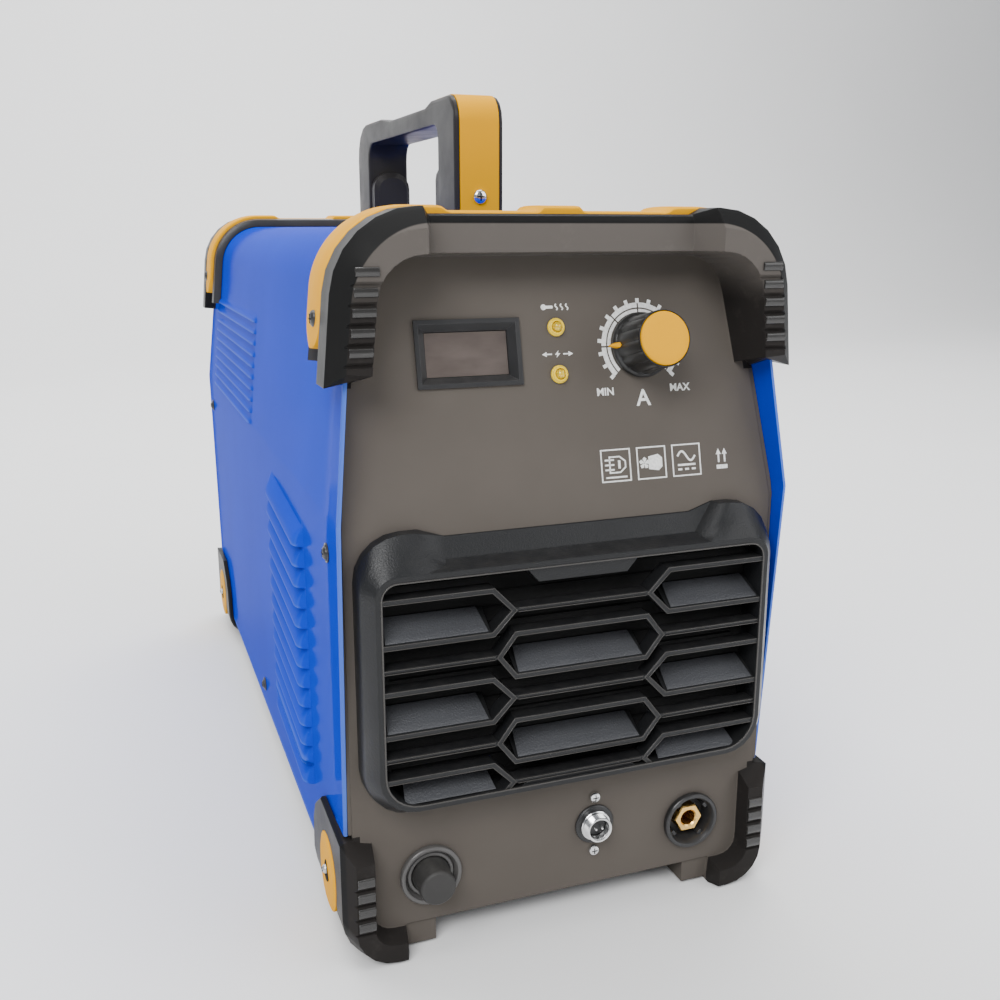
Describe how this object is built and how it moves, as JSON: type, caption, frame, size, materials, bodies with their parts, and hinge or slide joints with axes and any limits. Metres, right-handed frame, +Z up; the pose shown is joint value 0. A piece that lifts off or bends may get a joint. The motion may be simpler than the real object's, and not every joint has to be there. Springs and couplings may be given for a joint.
{
  "type": "stick welding inverter",
  "caption": "Portable arc welding power source: flared painted steel case between moulded ends with corner guards, honeycomb grille, current knob, output sockets and a carry handle.",
  "frame": {"origin": "centre of the footprint, on the floor under the feet", "axes": "+X is the machine's right seen from the front, +Y runs from the front grille to the rear, +Z is up"},
  "size_m": [0.261, 0.6, 0.462],
  "materials": {
    "aluminium": "extruded",
    "amber_lens": "clear moulded",
    "black_plastic": "satin moulded",
    "blue_paint": "gloss powder coat",
    "board_green": "solder resist",
    "brass": "turned",
    "chrome": "plated",
    "copper": "enamelled wire",
    "dark_window": "polished smoked",
    "ferrite": "sintered",
    "grained_plastic": "fine grained",
    "knob_black": "semi-gloss moulded",
    "red_plastic": "semi-gloss moulded",
    "sleeve_black": "satin moulded",
    "steel": "plated",
    "yellow_plastic": "satin moulded",
    "zinc_sheet": "zinc plated"
  },
  "bodies": {
    "housing": {"base_pan": "zinc_sheet", "breaker_body": "sleeve_black", "cable_gland": "black_plastic", "capacitor_1": "sleeve_black", "capacitor_2": "sleeve_black", "capacitor_3": "sleeve_black", "control_board": "board_green", "control_insert": "sleeve_black", "control_screw_lower": "chrome", "control_screw_upper": "chrome", "control_socket": "chrome", "cover_shell": "blue_paint", "display_bezel": "black_plastic", "display_board": "board_green", "display_window": "dark_window", "fan_frame": "black_plastic", "fan_guard": "steel", "foot_insert_front_left": "yellow_plastic", "foot_insert_front_right": "yellow_plastic", "foot_insert_rear_left": "yellow_plastic", "foot_insert_rear_right": "yellow_plastic", "front_grille": "grained_plastic", "front_moulding": "black_plastic", "front_trim": "yellow_plastic", "gland_nut": "black_plastic", "ground_bolt": "brass", "handle": "black_plastic", "handle_band_front": "yellow_plastic", "handle_band_rear": "yellow_plastic", "handle_bracket_front": "black_plastic", "handle_bracket_rear": "black_plastic", "handle_screw_front": "chrome", "handle_screw_rear": "chrome", "heatsink_left": "aluminium", "heatsink_right": "aluminium", "output_choke": "copper", "output_contact_left": "brass", "output_contact_right": "brass", "output_socket_left": "black_plastic", "output_socket_right": "black_plastic", "overcurrent_led": "amber_lens", "overcurrent_led_bezel": "yellow_plastic", "overheat_led": "amber_lens", "overheat_led_bezel": "yellow_plastic", "potentiometer": "steel", "power_board": "board_green", "rear_moulding": "black_plastic", "rear_trim": "yellow_plastic", "rectifier_module": "sleeve_black", "transformer_coil": "copper", "transformer_core": "ferrite"},
    "knob": {"current_knob": "knob_black", "knob_cap": "yellow_plastic", "knob_pointer": "yellow_plastic", "potentiometer_shaft": "steel"},
    "plug_cap": {"output_cap": "sleeve_black"},
    "fan": {"fan_rotor": "sleeve_black"},
    "lever": {"breaker_lever": "red_plastic"}
  },
  "joints": [
    {"name": "knob_turn", "type": "hinge", "parent": "housing", "child": "knob", "pos_m": [0.048, -0.26128, 0.32261], "axis": [0, -0.9735, 0.2288], "range_deg": [-225, 45]},
    {"name": "plug_cap_pull", "type": "slide", "parent": "housing", "child": "plug_cap", "axis": [0, -1, 0], "range_m": [0, 0.03]},
    {"name": "fan_spin", "type": "hinge", "parent": "housing", "child": "fan", "pos_m": [0, 0.258, 0.15], "axis": [0, 1, 0], "continuous": true},
    {"name": "breaker_switch", "type": "hinge", "parent": "housing", "child": "lever", "pos_m": [-0.052, 0.284, 0.305], "axis": [1, 0, 0], "range_deg": [0, 40]}
  ]
}
